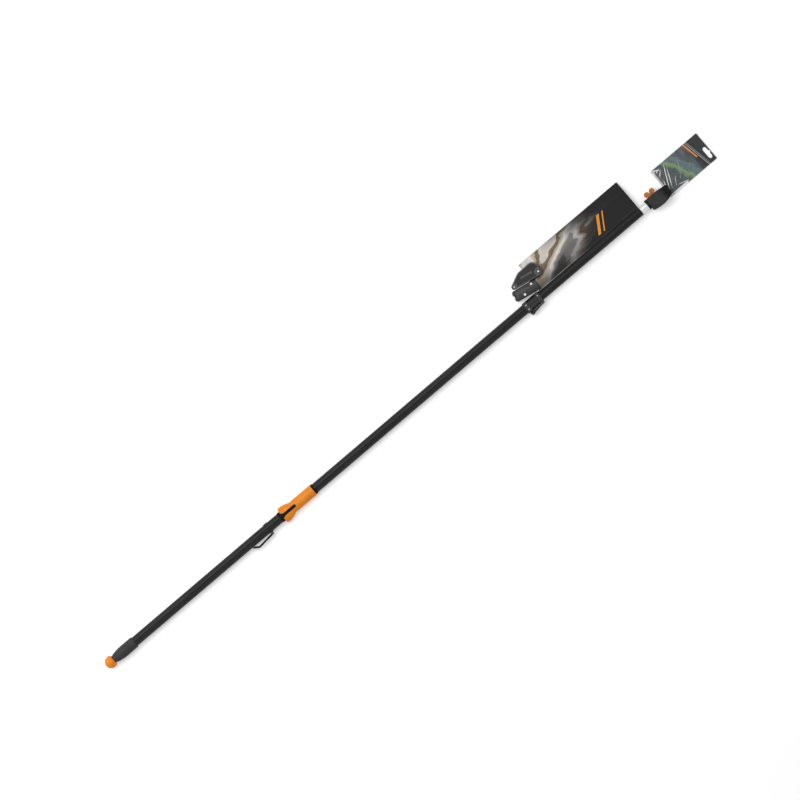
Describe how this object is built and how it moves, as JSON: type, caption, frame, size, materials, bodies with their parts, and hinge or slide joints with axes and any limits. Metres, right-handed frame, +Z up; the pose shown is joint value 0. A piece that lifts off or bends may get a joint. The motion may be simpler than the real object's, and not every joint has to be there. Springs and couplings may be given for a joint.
{
  "type": "telescoping pole saw",
  "caption": "Telescoping pole with sliding hand grip, pull ball and clamp, its saw and pruner head stowed in a card sleeve beside the inner tube, with tool socket and hang card.",
  "frame": {"origin": "on the floor, under the centre of the whole lying pole", "axes": "+X along the pole from the pull ball to the tip, +Y towards the side that the sleeve stands out on, +Z up"},
  "size_m": [2.5404, 0.1526, 0.0419],
  "materials": {
    "tube_black": "dark anodised, satin",
    "bare_tube": "plain satin",
    "grey_rubber": "fine matt",
    "orange_plastic": "moulded, satin",
    "black_plastic": "moulded, fine grain",
    "steel": "bright, brushed",
    "coated_steel": "low-friction dark coating",
    "nylon": "natural nylon",
    "cord": "braided",
    "sleeve_card": "printed, satin varnish",
    "printed_card": "printed, satin varnish",
    "clear_film": "clear film"
  },
  "bodies": {
    "outer_pole": {"outer_tube": "tube_black", "butt_grip": "grey_rubber", "cord_bush": "black_plastic", "top_bush": "nylon", "clamp_collar": "black_plastic", "clamp_screws": "steel", "clamp_pin": "black_plastic", "hook_band": "black_plastic", "hook_pin": "steel"},
    "inner_pole": {"inner_tube": "bare_tube", "glide_plug": "nylon", "tip_socket": "black_plastic", "card_sleeve": "sleeve_card", "head_body": "black_plastic", "head_cover": "black_plastic", "head_bolts": "steel", "clevis_pin": "steel", "saw_blade": "coated_steel", "hook_blade": "coated_steel", "pivot_bolt": "steel", "hang_card": "printed_card", "card_pouch": "clear_film", "card_pin": "nylon"},
    "hand_grip": {"hand_grip": "orange_plastic", "grip_liner": "black_plastic"},
    "pull_ball": {"pull_ball": "orange_plastic", "pull_cord": "cord", "cord_ferrule": "steel"},
    "lock_hook": {"lock_hook": "black_plastic"},
    "clamp_lever": {"clamp_lever": "black_plastic"},
    "pruner_lever": {"pruner_lever": "black_plastic", "cutting_blade": "coated_steel", "pulley_pin": "steel"},
    "pulley": {"pulley": "nylon"},
    "wing_knob": {"wing_knob": "orange_plastic", "knob_stud": "steel"}
  },
  "joints": [
    {"name": "pole_telescope", "type": "slide", "parent": "outer_pole", "child": "inner_pole", "axis": [1, 0, 0], "range_m": [0, 1.3]},
    {"name": "grip_slide", "type": "slide", "parent": "outer_pole", "child": "hand_grip", "axis": [1, 0, 0], "range_m": [-0.02, 0.85]},
    {"name": "ball_pull", "type": "slide", "parent": "outer_pole", "child": "pull_ball", "axis": [-1, 0, 0], "range_m": [0, 0.4]},
    {"name": "lock_hook_swing", "type": "hinge", "parent": "outer_pole", "child": "lock_hook", "pos_m": [-0.58975, -0.0673, 0.0205], "axis": [0, 0, 1], "range_deg": [0, 150]},
    {"name": "clamp_lever_swing", "type": "hinge", "parent": "outer_pole", "child": "clamp_lever", "pos_m": [0.50005, -0.07025, 0.0205], "axis": [0, 0, -1], "range_deg": [0, 115]},
    {"name": "pruner_lever_swing", "type": "hinge", "parent": "inner_pole", "child": "pruner_lever", "pos_m": [0.59805, 0.02085, 0.021], "axis": [0, 0, -1], "range_deg": [0, 38]},
    {"name": "pulley_spin", "type": "hinge", "parent": "pruner_lever", "child": "pulley", "pos_m": [0.50705, 0.03225, 0.02625], "axis": [0, 0, 1], "continuous": true},
    {"name": "wing_knob_turn", "type": "hinge", "parent": "inner_pole", "child": "wing_knob", "pos_m": [1.03105, -0.02745, 0.0205], "axis": [0, 1, 0], "continuous": true}
  ]
}
